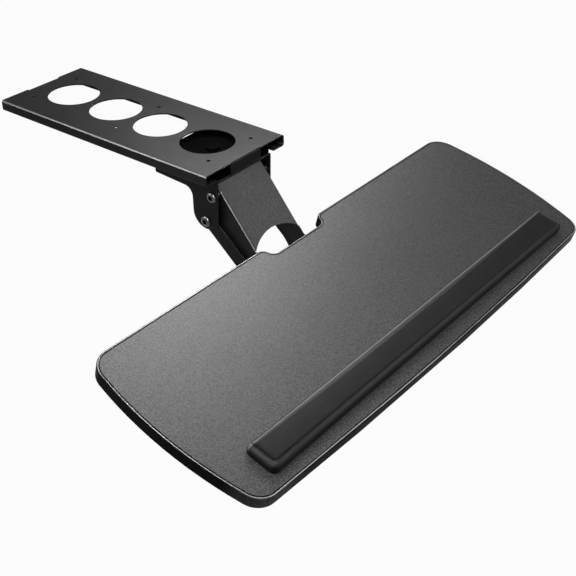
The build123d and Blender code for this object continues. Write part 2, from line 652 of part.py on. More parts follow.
def plate_screw_places():
    """The middles of the tilt bracket's screws, in rows of two in the tray's frame."""
    half = TILT_PLATE_WIDTH / 2 - PLATE_SCREW_INSET
    step = (TILT_PLATE_LENGTH - 2 * PLATE_SCREW_INSET) / (PLATE_SCREW_ROWS - 1)
    rows = [-TILT_PLATE_INSET - PLATE_SCREW_INSET - index * step for index in range(PLATE_SCREW_ROWS)]
    return [(side * half, row) for row in rows for side in SIDES.values()]


def make_tray_board():
    """The core of the tray, between the top sheet and the edge band."""
    face = tray_outline(BAND_THICK)
    board = Pos(0, 0, -TRAY_THICK) * extrude(face, amount=TRAY_THICK - TOP_SHEET_THICK)
    for x, y in rest_screw_places():
        board = board - upright(REST_SCREW_R + FIT, -TRAY_THICK - OVERRUN, OVERRUN, x, y)
    for x, y in plate_screw_places():
        depth = PLATE_SCREW_DEPTH - TRAY_THICK
        board = board - upright(PLATE_SCREW_R + FIT, -TRAY_THICK - OVERRUN, depth, x, y)
    return TRAY_PLACE * board


def make_top_sheet():
    """The sheet that the keyboard stands on, set in from the edge band by a fine groove."""
    face = tray_outline(BAND_THICK + RIM_GROOVE)
    sheet = Pos(0, 0, -TOP_SHEET_THICK) * extrude(face, amount=TOP_SHEET_THICK)
    for x, y in rest_screw_places():
        sheet = sheet - upright(REST_SCREW_R + FIT, -TOP_SHEET_THICK - OVERRUN, OVERRUN, x, y)
    return TRAY_PLACE * sheet


def make_edge_band():
    """The moulded band round the tray, with its upper outer edge broken."""
    outer = Pos(0, 0, -TRAY_THICK) * extrude(tray_outline(), amount=TRAY_THICK)
    outer = chamfer(outer.edges().group_by(Axis.Z)[-1], BAND_EDGE)
    inner = extrude(tray_outline(BAND_THICK), amount=TRAY_THICK + 2 * OVERRUN)
    inner = Pos(0, 0, -TRAY_THICK - OVERRUN) * inner
    return TRAY_PLACE * (outer - inner)


def tangent_point(centre, radius, point, turn):
    """Where the tangent from a point meets a circle, on the side that turn (1 or -1) picks."""
    away = (point[0] - centre[0], point[1] - centre[1])
    bearing = math.atan2(away[1], away[0]) + turn * math.acos(radius / math.hypot(*away))
    return centre[0] + radius * math.cos(bearing), centre[1] + radius * math.sin(bearing)


def make_tilt_bracket():
    """The plate under the tray, with two ears that reach down to the tilt axis."""
    low = -TRAY_THICK - TILT_SHEET
    middle = -TILT_PLATE_INSET - TILT_PLATE_LENGTH / 2
    bracket = slab(TILT_PLATE_WIDTH, TILT_PLATE_LENGTH, low, -TRAY_THICK, y=middle,
                   corner=TILT_PLATE_CORNER_R)
    root = low + TILT_SHEET / 2
    back = (-TILT_PLATE_INSET - TILT_SHEET, root)
    nose = (back[0] - TILT_EAR_LENGTH, root)
    ear = outline(
        (*back, 0),
        (*nose, 0),
        (*tangent_point(TRAY_TILT_AXIS, TILT_EAR_R, nose, 1), 0),
        (*tangent_point(TRAY_TILT_AXIS, TILT_EAR_R, back, -1), 0),
    )
    ear = ear + disc(TILT_EAR_R, TRAY_TILT_AXIS) - disc(ROD_R + FIT, TRAY_TILT_AXIS)
    for side in SIDES.values():
        bracket = bracket + from_side_at(ear, side, TILT_EAR_INNER, TILT_EAR_OUTER)
    for x, y in plate_screw_places():
        bracket = bracket - upright(PLATE_SCREW_R + FIT, low - OVERRUN, OVERRUN, x, y)
    return TRAY_PLACE * bracket


def make_plate_screw(x, y):
    """A pan-head screw up through the tilt bracket into the board."""
    seat = -TRAY_THICK - TILT_SHEET
    head = upright(PLATE_SCREW_HEAD_R, seat - PLATE_SCREW_HEAD_HEIGHT, seat, x, y)
    return TRAY_PLACE * (head + upright(PLATE_SCREW_R, seat, PLATE_SCREW_DEPTH - TRAY_THICK, x, y))


def make_rest_base():
    """The flat base of the wrist rest."""
    width = REST_LENGTH - 2 * REST_BASE_INSET
    depth = REST_DEPTH - 2 * REST_BASE_INSET
    middle = -REST_INSET - REST_DEPTH / 2
    base = slab(width, depth, 0, REST_BASE_THICK, y=middle, corner=REST_CORNER_R)
    for x, y in rest_screw_places():
        base = base - upright(REST_SCREW_R + FIT, -OVERRUN, REST_BASE_THICK + OVERRUN, x, y)
    return TRAY_PLACE * base


def make_rest_pad():
    """The padded bar: a crisp back edge, a slight crown, and a rounded front and ends."""
    back = -REST_INSET
    front = back - REST_DEPTH
    shoulder = REST_HEIGHT - REST_CROWN
    profile = outline(
        (back, REST_BASE_THICK, 0),
        (back - REST_BACK_LEAN, shoulder, REST_BACK_EDGE_R),
        ((back + front) / 2, REST_HEIGHT, REST_CROWN_R),
        (front, shoulder, REST_ROUND_R),
        (front, REST_BASE_THICK, 0),
    )
    pad = from_side(profile, -REST_LENGTH / 2, REST_LENGTH / 2)
    elevation = outline(
        (-REST_LENGTH / 2, REST_BASE_THICK, 0),
        (-REST_LENGTH / 2, REST_HEIGHT, REST_ROUND_R),
        (REST_LENGTH / 2, REST_HEIGHT, REST_ROUND_R),
        (REST_LENGTH / 2, REST_BASE_THICK, 0),
    )
    rounded_ends = extrude(Plane.XZ * elevation, amount=TRAY_DEPTH, both=True)
    middle = (back + front) / 2
    rounded_corners = slab(REST_LENGTH, REST_DEPTH, 0, REST_HEIGHT, y=middle, corner=REST_CORNER_R)
    return TRAY_PLACE * (pad & rounded_ends & rounded_corners)


def make_rest_screw(x, y):
    """A screw from below, through the board and the sheet into the base of the rest."""
    seat = -TRAY_THICK
    head = upright(REST_SCREW_HEAD_R, seat - REST_SCREW_HEAD_HEIGHT, seat, x, y)
    return TRAY_PLACE * (head + upright(REST_SCREW_R, seat, REST_BASE_THICK, x, y))


def build_pieces():
    """Every piece by name, from the desk down to the tray."""
    pieces = {
        "track_plate": make_track_plate(),
        "stop_buffer_front": make_stop_buffer(-1),
        "stop_buffer_rear": make_stop_buffer(1),
        "carriage_plate": make_carriage_plate(),
        "swivel_disc": make_swivel_disc(),
        "swivel_bolt": make_swivel_bolt(),
        "swivel_washer": make_swivel_washer(),
        "swivel_nut": make_swivel_nut(),
        "swivel_bracket": make_swivel_bracket(),
        "upper_arm": make_upper_arm(),
        "front_link": make_front_link(),
        "clamp_rod": make_clamp_rod(),
        "clamp_sleeve": make_clamp_sleeve(),
        "clamp_knob": make_clamp_knob(),
        "tilt_bracket": make_tilt_bracket(),
        "tray_board": make_tray_board(),
        "top_sheet": make_top_sheet(),
        "edge_band": make_edge_band(),
        "rest_base": make_rest_base(),
        "rest_pad": make_rest_pad(),
    }
    for name, side in SIDES.items():
        pieces[f"runner_strip_{name}"] = make_runner_strip(side)
        pieces[f"carriage_glide_front_{name}"] = make_carriage_glide(side, -1)
        pieces[f"carriage_glide_rear_{name}"] = make_carriage_glide(side, 1)
        pieces[f"upper_pivot_bolt_{name}"] = make_upper_pivot_bolt(side)
        pieces[f"upper_pivot_bush_{name}"] = make_upper_pivot_bush(side)
        pieces[f"upper_pivot_nut_{name}"] = make_upper_pivot_nut(side)
        pieces[f"lower_pivot_bolt_{name}"] = make_lower_pivot_bolt(side)
        pieces[f"lower_pivot_washer_{name}"] = make_lower_pivot_washer(side)
        pieces[f"lower_pivot_nut_{name}"] = make_lower_pivot_nut(side)
        pieces[f"lower_link_{name}"] = make_lower_link(side)
        pieces[f"front_lower_bolt_{name}"] = make_front_lower_bolt(side)
        pieces[f"front_lower_spacer_{name}"] = make_front_lower_spacer(side)
        pieces[f"front_lower_nut_{name}"] = make_front_lower_nut(side)
        pieces[f"clamp_washer_{name}"] = make_clamp_washer(side)
    for number, (x, y) in enumerate(plate_screw_places(), start=1):
        pieces[f"plate_screw_{number}"] = make_plate_screw(x, y)
    for number, (x, y) in enumerate(rest_screw_places(), start=1):
        pieces[f"rest_screw_{number}"] = make_rest_screw(x, y)
    return pieces


os.makedirs("parts", exist_ok=True)
for piece_name, piece in build_pieces().items():
    export_step(piece, f"parts/{piece_name}.step")
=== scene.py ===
import json
import math

import bmesh
import bpy
from mathutils import Matrix, Vector

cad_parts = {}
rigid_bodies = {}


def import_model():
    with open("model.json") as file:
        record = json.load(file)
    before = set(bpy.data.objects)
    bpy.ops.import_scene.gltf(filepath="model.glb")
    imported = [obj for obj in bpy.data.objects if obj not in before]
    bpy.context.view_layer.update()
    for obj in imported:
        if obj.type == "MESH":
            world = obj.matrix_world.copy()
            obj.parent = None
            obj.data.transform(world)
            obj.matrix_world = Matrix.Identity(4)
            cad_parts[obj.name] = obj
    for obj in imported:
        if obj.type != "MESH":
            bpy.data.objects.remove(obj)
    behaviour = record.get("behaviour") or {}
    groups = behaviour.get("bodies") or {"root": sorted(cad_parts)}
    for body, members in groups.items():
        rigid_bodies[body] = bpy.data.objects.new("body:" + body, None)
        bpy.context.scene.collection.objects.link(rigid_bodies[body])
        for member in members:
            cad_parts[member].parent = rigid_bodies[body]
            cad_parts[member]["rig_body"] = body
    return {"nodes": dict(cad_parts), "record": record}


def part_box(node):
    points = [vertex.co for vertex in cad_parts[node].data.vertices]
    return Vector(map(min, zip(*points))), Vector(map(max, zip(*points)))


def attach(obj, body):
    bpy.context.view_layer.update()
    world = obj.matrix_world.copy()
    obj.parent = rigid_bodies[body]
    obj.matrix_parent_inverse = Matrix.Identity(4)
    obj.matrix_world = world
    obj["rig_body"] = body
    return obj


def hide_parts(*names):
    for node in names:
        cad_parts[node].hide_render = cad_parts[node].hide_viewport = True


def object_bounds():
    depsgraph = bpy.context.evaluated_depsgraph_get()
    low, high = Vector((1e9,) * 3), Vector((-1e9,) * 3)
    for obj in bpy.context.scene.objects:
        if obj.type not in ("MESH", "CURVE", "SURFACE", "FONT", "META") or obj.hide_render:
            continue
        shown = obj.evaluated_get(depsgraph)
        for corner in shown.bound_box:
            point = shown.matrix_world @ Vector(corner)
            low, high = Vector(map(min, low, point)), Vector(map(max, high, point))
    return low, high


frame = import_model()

# Keyboard tray on an arm under a desk: finishes, rounded edges, fasteners, hand knob and wrist rest.
# Lengths are metres. X runs to the user's right, Y to the back of the desk and Z up.

MM = 0.001
CAD_BOX = [list(corner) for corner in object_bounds()]
WHITE = (1, 1, 1, 1)

# Camera, at the viewing angle of the photograph
CAMERA_PLACE = (-1098.9 * MM, -1188.9 * MM, 720.3 * MM)
CAMERA_TURN = math.radians(-50.91)
CAMERA_RISE = math.radians(33.05)
CAMERA_ROLL = math.radians(-0.88)
CAMERA_LENS = 69.69
CAMERA_SENSOR = 36.0
CAMERA_FAR = 100.0

# Studio
FLOOR_DROP = 0.55
FLOOR_SIZE = 9.0
FLOOR_COLOUR = (0.90, 0.90, 0.90, 1)
FLOOR_SHADOW = 0.04
WORLD_FILL = 0.14

# Lamps: name, place, aim, width and length, power, and whether it only shows in glossy surfaces
LAMPS = (
    ("overhead_lamp", (-0.56, -0.38, 0.50), (-0.42, -0.40, -0.15), (0.45, 0.45), 3.4, False),
    ("front_lamp", (-0.15, -1.10, 0.75), (0.0, -0.30, -0.10), (0.50, 0.50), 2.0, False),
    ("rear_lamp", (0.90, 0.70, 1.00), (0.0, -0.30, -0.10), (0.80, 0.80), 3.0, False),
    ("front_right_strip", (1.15, -1.35, 0.85), (0.0, -0.30, -0.10), (0.60, 0.60), 46.0, True),
    ("middle_strip", (0.34, 0.05, 0.60), (-0.15, -0.30, -0.15), (0.50, 0.50), 50.0, True),
    ("rear_left_strip", (-1.10, 0.95, 0.75), (-0.15, -0.25, -0.10), (0.45, 1.30), 30.0, True),
    ("camera_strip", (-1.35, -0.80, 0.70), (-0.05, -0.30, -0.10), (0.35, 0.90), 25.0, True),
    ("right_strip", (0.95, 0.08, 0.50), (0.36, -0.26, -0.08), (0.35, 0.35), 7.5, True),
)

# Index of refraction of the satin finishes, low where they hardly shine
TRACK_IOR = 1.07
BLACK_IOR = 1.12
SHADED_IOR = 1.01
ARM_IOR = 1.17
LAMINATE_IOR = 1.15
PLASTIC_IOR = 1.17
BAND_IOR = 1.03
SCREW_IOR = 1.01
SKIN_IOR = 1.09
GROOVE_IOR = 1.02
EDGE_IOR = 1.50
RIM_IOR = 1.22

# Shades that vary over a piece, with painted highlights on the tray's band
LAMINATE_SHADE = (0.9, 0.9, 0.9, 1)
# Painted highlight at the band's two front corners: where it is centred, where it fades and how it is
# stretched
CORNER_HIGHLIGHT_FROM_END = 34.0 * MM
CORNER_HIGHLIGHT_FROM_FRONT = 12.0 * MM
CORNER_HIGHLIGHT_INNER = 12.0 * MM
CORNER_HIGHLIGHT_OUTER = 62.0 * MM
CORNER_HIGHLIGHT_STRETCH = 0.08
# How far from the back the band's top is painted pale as a highlight, and how near the back it turns dark
RIM_PALE_FROM = 110.0 * MM
RIM_DARK_TO = 30.0 * MM

# Rounding of the folded and cut edges
SHEET_EDGE = 0.55 * MM
FOLD_EDGE = 0.9 * MM
BAND_EDGE = 0.35 * MM
SKIN_EDGE = 0.45 * MM
EDGE_ANGLE = math.radians(32)
MERGE_DISTANCE = 0.002 * MM
LEVEL_TOLERANCE = 0.02 * MM
FLAT_ANGLE = math.radians(0.8)

# Faces that take the painted edge highlight: how far they lean, and how wide the tray's groove is, painted
# near-black as shade
FOLD_LEAN = (0.40, 0.92)
RIM_SLOPE = 0.9
RIM_GROOVE = 1.1 * MM

# Arm cover: its directions at rest, and how much further its rear end reaches
COVER_SLOPE = math.radians(50.9)
COVER_ALONG = Vector((0, -math.cos(COVER_SLOPE), -math.sin(COVER_SLOPE)))
COVER_UP = Vector((0, -math.sin(COVER_SLOPE), math.cos(COVER_SLOPE)))
COVER_TUCK = 2.6 * MM

# Bolts and screws
PIVOT_BOLT = {"Head Radius": 8.4 * MM, "Head Height": 4.6 * MM, "Shank Radius": 4.0 * MM}
PLATE_SCREW = {"Head Radius": 4.6 * MM, "Head Height": 2.4 * MM, "Shank Radius": 2.4 * MM}
REST_SCREW = {"Head Radius": 4.2 * MM, "Head Height": 2.4 * MM, "Shank Radius": 2.0 * MM}
DOME_SIDES = 48
DOME_RINGS = 9
RIM_SHARE = 0.34
HEX_SIDES = 6
HEX_R = 4.33 * MM
CROSS_ARM_SHARE = 0.95
CROSS_SLOT_SHARE = 0.24
RECESS_SHARE = 0.85

# Hand knob
KNOB_LOBES = 6
KNOB_STEPS = 144
KNOB_VALLEY = 2.3 * MM
KNOB_HUB_LENGTH = 5.0 * MM
KNOB_HUB_R = 10.0 * MM
KNOB_CROWN = 4.0 * MM
KNOB_INNER_CROWN = 2.0 * MM
KNOB_CROWN_STEPS = 7
KNOB_DISH_SHARE = 0.55
KNOB_DISH_LOBED = 0.4
KNOB_DISH_FLOOR_SHARE = 0.50
KNOB_DISH_DEPTH = 0.9 * MM

# Wrist rest
REST_SHRINK = 0.7 * MM
REST_VOXEL = 2.4 * MM
REST_PRESSURE = 4.0
REST_QUALITY = 5
REST_FRAMES = 20
REST_CAP = 1.1 * MM
REST_SOLE = 1.2 * MM
# The crease is pressed in and painted dark as shade; the back edge and the rolled rim are painted lighter as
# a highlight
CREASE_CORNER = 3.5 * MM
CREASE_INSET = 8.2 * MM
CREASE_WIDTH = 1.3 * MM
CREASE_DEPTH = 0.8 * MM
ROLL_INSET = 4.0 * MM
ROLL_WIDTH = 2.6 * MM
ROLL_SHARE = 0.18
BACK_EDGE_INSET = 5.2 * MM
BACK_EDGE_WIDTH = 1.2 * MM
TOP_SLOPE = 0.55
TOP_FADE = 2.0


def named_box(node):
    """The lowest corner, the highest corner and the middle of a solid of the model."""
    low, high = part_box(node)
    return low, high, (low + high) / 2


def linear(hex_colour):
    """A display colour such as 4a4a4a as linear values."""
    values = [int(hex_colour[i:i + 2], 16) / 255 for i in (0, 2, 4)]
    return tuple(v / 12.92 if v <= 0.04045 else ((v + 0.055) / 1.055) ** 2.4 for v in values) + (1.0,)


def new_piece(name, mesh):
    piece = bpy.data.objects.new(name, mesh)
    bpy.context.scene.collection.objects.link(piece)
    return piece


def emptied_tree(owner):
    """The node tree of a material or of the world, without the nodes that it starts with."""
    owner.use_nodes = True
    owner.node_tree.nodes.clear()
    return owner.node_tree


def add_node(tree, kind, inputs=None, **settings):
    """A node with its settings; an input takes a plain value, another node's output or a list of outputs."""
    node = tree.nodes.new(kind)
    for setting, value in settings.items():
        setattr(node, setting, value)
    for title, given in (inputs or {}).items():
        for value in given if isinstance(given, list) else [given]:
            if isinstance(value, bpy.types.NodeSocket):
                tree.links.new(value, node.inputs[title])
            elif value is not None:
                node.inputs[title].default_value = value
    return node


# Camera and studio

def add_camera():
    turn, rise = CAMERA_TURN, CAMERA_RISE
    back = Vector((math.sin(turn) * math.cos(rise), -math.cos(turn) * math.cos(rise), math.sin(rise)))
    right = (-back).cross(Vector((0, 0, 1))).normalized()
    up = right.cross(-back)
    rolled_right = right * math.cos(CAMERA_ROLL) + up * math.sin(CAMERA_ROLL)
    rolled_up = up * math.cos(CAMERA_ROLL) - right * math.sin(CAMERA_ROLL)
    data = bpy.data.cameras.new("camera")
    data.lens = CAMERA_LENS
    data.sensor_width = CAMERA_SENSOR
    data.clip_end = CAMERA_FAR
    camera = bpy.data.objects.new("camera", data)
    turn_matrix = Matrix((rolled_right, rolled_up, back)).transposed().to_4x4()
    camera.matrix_world = Matrix.Translation(CAMERA_PLACE) @ turn_matrix
    bpy.context.scene.collection.objects.link(camera)
    bpy.context.scene.camera = camera


def seen_ray(tree):
    """One where a ray comes from the camera, a mirror-like surface or glass."""
    path = add_node(tree, "ShaderNodeLightPath").outputs
    seen = path["Is Camera Ray"]
    for kind in ("Is Glossy Ray", "Is Transmission Ray"):
        seen = add_node(tree, "ShaderNodeMath", {0: seen, 1: path[kind]}, operation="MAXIMUM").outputs[0]
    return seen


def blend_shaders(tree, output, share, first, second):
    """The output shows the first shader, and the second one as far as the share says."""
    mix = add_node(tree, "ShaderNodeMixShader", {0: share, 1: first.outputs[0], 2: second.outputs[0]})
    add_node(tree, output, {"Surface": mix.outputs[0]})


def add_world():
    world = bpy.data.worlds.new("studio")
    bpy.context.scene.world = world
    tree = emptied_tree(world)
    fill = add_node(tree, "ShaderNodeBackground", {"Color": WHITE, "Strength": WORLD_FILL})
    white = add_node(tree, "ShaderNodeBackground", {"Color": WHITE, "Strength": 1.0})
    blend_shaders(tree, "ShaderNodeOutputWorld", seen_ray(tree), fill, white)


def add_floor():
    low = CAD_BOX[0][2] - FLOOR_DROP
    half = FLOOR_SIZE / 2
    mesh = bpy.data.meshes.new("floor")
    corners = [(-half, -half, low), (half, -half, low), (half, half, low), (-half, half, low)]
    mesh.from_pydata(corners, [], [(0, 1, 2, 3)])
    floor = new_piece("floor", mesh)
    material = bpy.data.materials.new("pale_floor")
    tree = emptied_tree(material)
    matt = add_node(tree, "ShaderNodeBsdfDiffuse", {"Color": FLOOR_COLOUR})
    white = add_node(tree, "ShaderNodeEmission", {"Strength": 1.0})
    share = add_node(tree, "ShaderNodeMath", {0: seen_ray(tree), 1: 1 - FLOOR_SHADOW}, operation="MULTIPLY")
    blend_shaders(tree, "ShaderNodeOutputMaterial", share.outputs[0], matt, white)
    mesh.materials.append(material)


def add_lamp(name, place, aim, size, power, gloss_only):
    data = bpy.data.lights.new(name, "AREA")
    data.shape = "RECTANGLE"
    data.size, data.size_y = size
    data.energy = power
    lamp = bpy.data.objects.new(name, data)
    lamp.location = place
    lamp.rotation_euler = (Vector(aim) - Vector(place)).to_track_quat("-Z", "Y").to_euler()
    lamp.visible_camera = False
    lamp.visible_diffuse = not gloss_only
    bpy.context.scene.collection.objects.link(lamp)


# Materials

class Finish:
    """A material with one shader, whose patterns read the piece's own coordinates."""

    def __init__(self, name, **shader_values):
        self.material = bpy.data.materials.new(name)
        self.tree = emptied_tree(self.material)
        self.shader = add_node(self.tree, "ShaderNodeBsdfPrincipled", shader_values)
        add_node(self.tree, "ShaderNodeOutputMaterial", {"Surface": self.shader.outputs["BSDF"]})
        self.place = add_node(self.tree, "ShaderNodeTexCoord").outputs["Object"]

    def noise(self, scale, detail=3.0, roughness=0.55, place=None):
        """Cloudy noise, read at the piece's coordinates or at a changed place."""
        inputs = {"Scale": scale, "Detail": detail, "Roughness": roughness,
                  "Vector": self.place if place is None else place}
        return add_node(self.tree, "ShaderNodeTexNoise", inputs).outputs["Fac"]

    def cells(self, feature, scale, smoothness=None):
        """The distance that a pattern of cells gives."""
        inputs = {"Scale": scale, "Smoothness": smoothness, "Vector": self.place}
        return add_node(self.tree, "ShaderNodeTexVoronoi", inputs, feature=feature).outputs["Distance"]

    def vector_math(self, operation, first, second=None):
        inputs = {0: first, 1: second}
        return add_node(self.tree, "ShaderNodeVectorMath", inputs, operation=operation).outputs

    def spread(self, value, low=0.0, high=1.0, start=0.3, end=0.7):
        """A value between start and end, spread out from low to high."""
        inputs = {"Value": value, "From Min": start, "From Max": end, "To Min": low, "To Max": high}
        return add_node(self.tree, "ShaderNodeMapRange", inputs).outputs["Result"]

    def mixed(self, share, under, over, blend="MIX"):
        """A colour laid over another one, as thickly as the share says."""
        inputs = {"Factor": share, "A": under, "B": over}
        node = add_node(self.tree, "ShaderNodeMix", inputs, data_type="RGBA", blend_type=blend)
        return node.outputs["Result"]

    def mottled(self, pattern, colours):
        """The first display colour where the pattern is low, and the second where it is high."""
        return self.mixed(pattern, linear(colours[0]), linear(colours[1]))

    def clouded(self, colours, scale, detail=3.0):
        """Two display colours in soft clouds."""
        return self.mottled(self.spread(self.noise(scale, detail)), colours)

    def surface_value(self, name):
        """A value kept at each point of the piece's own surface."""
        return add_node(self.tree, "ShaderNodeAttribute", attribute_name=name).outputs["Fac"]

    def bumps(self, height, strength, distance, over=None):
        """Bumps that follow a pattern, over coarser ones where these are given."""
        inputs = {"Strength": strength, "Distance": distance, "Height": height, "Normal": over}
        return add_node(self.tree, "ShaderNodeBump", inputs).outputs["Normal"]

    def dressed(self, colour, roughness, normal=None):
        """The finished material, once its shader takes these."""
        for title, value in (("Base Color", colour), ("Roughness", roughness), ("Normal", normal)):
            if value is not None:
                self.tree.links.new(value, self.shader.inputs[title])
        return self.material


def powder_coat(name, colours, rough, bending):
    """Baked powder paint: a fine orange peel, with faint clouding of the shade and the gloss."""
    finish = Finish(name, IOR=bending)
    speckle = finish.noise(scale=420.0, detail=2.0)
    peel = finish.noise(scale=1100.0, detail=2.0, roughness=0.5)
    return finish.dressed(finish.clouded(colours, scale=14.0, detail=4.0), finish.spread(speckle, *rough),
                          finish.bumps(peel, strength=0.12, distance=0.12 * MM))


def painted_light_and_shade(name, colours, bending):
    """A finish in the colours given, mottled and smoother than the faces: painted highlights along edges and
    painted shade in recesses and grooves.
    """
    finish = Finish(name, IOR=bending)
    edge_blotches = finish.noise(scale=65.0, detail=5.0, roughness=0.6)
    return finish.dressed(finish.mottled(finish.spread(edge_blotches, start=0.4, end=0.68), colours),
                          finish.spread(edge_blotches, low=0.36, high=0.24))


def pebbled_laminate():
    """Textured melamine: small raised pebbles, lighter on their tops, over faint large clouds."""
    finish = Finish("pebbled_laminate", IOR=LAMINATE_IOR)
    pebbles = finish.cells("SMOOTH_F1", scale=470.0, smoothness=0.7)
    peaks = finish.spread(pebbles, low=1.0, high=0.0, start=0.10, end=0.62)
    grit = finish.noise(scale=1500.0, detail=2.0)
    shade = finish.mixed(finish.spread(finish.noise(scale=11.0)), LAMINATE_SHADE, WHITE)
    colour = finish.mixed(1.0, finish.mottled(peaks, ("444444", "696969")), shade, blend="MULTIPLY")
    coarse = finish.bumps(peaks, strength=0.5, distance=0.18 * MM)
    return finish.dressed(colour, finish.spread(grit, low=0.42, high=0.56),
                          finish.bumps(grit, strength=0.25, distance=0.05 * MM, over=coarse))


def moulded(finish, colour, rough):
    """Plastic of the colour given, with the fine grain of its mould."""
    grain = finish.noise(scale=900.0, detail=2.0)
    return finish.dressed(colour, finish.spread(grain, *rough),
                          finish.bumps(grain, strength=0.12, distance=0.08 * MM))


def moulded_plastic(name, colours, rough):
    finish = Finish(name, IOR=PLASTIC_IOR)
    return moulded(finish, finish.clouded(colours, scale=40.0), rough)


def band_plastic():
    """Black moulded band, with a painted highlight in pale upright streaks round the tray's two front
    corners.
    """
    finish = Finish("edge_plastic", IOR=BAND_IOR)
    low, high = named_box("edge_band")[:2]
    corner = (high.x - CORNER_HIGHLIGHT_FROM_END, -low.y - CORNER_HIGHLIGHT_FROM_FRONT, -low.z)
    either_end = finish.vector_math("ABSOLUTE", finish.place)["Vector"]
    distance = finish.vector_math("DISTANCE", either_end, corner)["Value"]
    nearness = finish.spread(distance, low=1.0, high=0.0, start=CORNER_HIGHLIGHT_INNER, end=CORNER_HIGHLIGHT_OUTER)
    stretch = {"Vector": finish.place, "Scale": (1.0, 1.0, CORNER_HIGHLIGHT_STRETCH)}
    upright = add_node(finish.tree, "ShaderNodeMapping", stretch).outputs["Vector"]
    streaks = finish.spread(finish.noise(scale=160.0, place=upright), low=0.55)
    corner_highlight = add_node(finish.tree, "ShaderNodeMath", {0: nearness, 1: streaks}, operation="MULTIPLY")
    plain = finish.clouded(("1a1a1a", "202020"), scale=40.0)
    return moulded(finish, finish.mixed(corner_highlight.outputs[0], plain, linear("6c6c6c")), rough=(0.26, 0.36))


def rim_plastic():
    """The band's top: painted pale as a highlight along the front and the ends, and dark at the back."""
    finish = Finish("rim_top_highlight", IOR=RIM_IOR)
    row = finish.vector_math("DOT_PRODUCT", finish.place, TRAY_ALONG)["Value"]
    back = max(vertex.co.dot(TRAY_ALONG) for vertex in frame["nodes"]["edge_band"].data.vertices)
    painted_highlight = finish.spread(row, low=1.0, high=0.0, start=back - RIM_PALE_FROM, end=back - RIM_DARK_TO)
    colour = finish.mixed(painted_highlight, linear("606060"), finish.clouded(("acacac", "bcbcbc"), scale=40.0))
    return finish.dressed(colour, finish.spread(finish.noise(scale=900.0, detail=2.0), low=0.22, high=0.32))


def rubber():
    finish = Finish("buffer_rubber")
    dust = finish.noise(scale=90.0, detail=4.0)
    return finish.dressed(finish.mottled(finish.spread(dust), ("191919", "262524")),
                          finish.spread(dust, low=0.68, high=0.84),
                          finish.bumps(finish.noise(scale=700.0), strength=0.2, distance=0.1 * MM))


def steel(finish, scale, colours, rough, marks):
    """Steel with a faint mottle of its shade and its gloss, and with fine tool marks."""
    mottle = finish.noise(scale=scale, detail=4.0)
    fine = finish.noise(scale=1400.0, detail=2.0)
    return finish.dressed(finish.mottled(finish.spread(mottle), colours), finish.spread(mottle, *rough),
                          finish.bumps(fine, strength=marks, distance=0.04 * MM))


def plated_steel():
    finish = Finish("zinc_plate", Metallic=1.0)
    return steel(finish, scale=160.0, colours=("3a3a3c", "565658"), rough=(0.20, 0.32), marks=0.15)


def blackened_steel():
    """Screws with a thin coat of black oxide."""
    finish = Finish("black_screw", IOR=SCREW_IOR)
    return steel(finish, scale=240.0, colours=("0a0a0b", "111112"), rough=(0.34, 0.48), marks=0.12)


def board_core():
    """The painted underside of the board: fine chips under a thin black coat."""
    finish = Finish("board_core")
    chips = finish.spread(finish.cells("F1", scale=190.0), start=0.1, end=0.8)
    return finish.dressed(finish.mottled(chips, ("232323", "2f2e2d")),
                          finish.spread(finish.noise(scale=500.0), low=0.55, high=0.72),
                          finish.bumps(chips, strength=0.2, distance=0.1 * MM))


def rest_skin():
    """Soft leather-like cover: a fine grain of joined wrinkles over slow waves, painted lighter as a
    highlight along the back edge and the rolled rim, and dark as shade in the crease.
    """
    finish = Finish("rest_skin", IOR=SKIN_IOR)
    wrinkles = finish.spread(finish.cells("DISTANCE_TO_EDGE", scale=780.0), start=0.0, end=0.22)
    plain = finish.clouded(("232323", "2a2a2a"), scale=26.0, detail=4.0)
    painted_highlight = finish.mixed(finish.surface_value("painted_highlight"), plain, linear("9c9c9c"))
    # Painted shade in the crease
    creased = finish.mixed(finish.surface_value("crease"), painted_highlight, linear("0a0a0a"))
    return finish.dressed(creased, finish.spread(wrinkles, low=0.60, high=0.46, start=0.0, end=1.0),
                          finish.bumps(wrinkles, strength=0.18, distance=0.08 * MM))


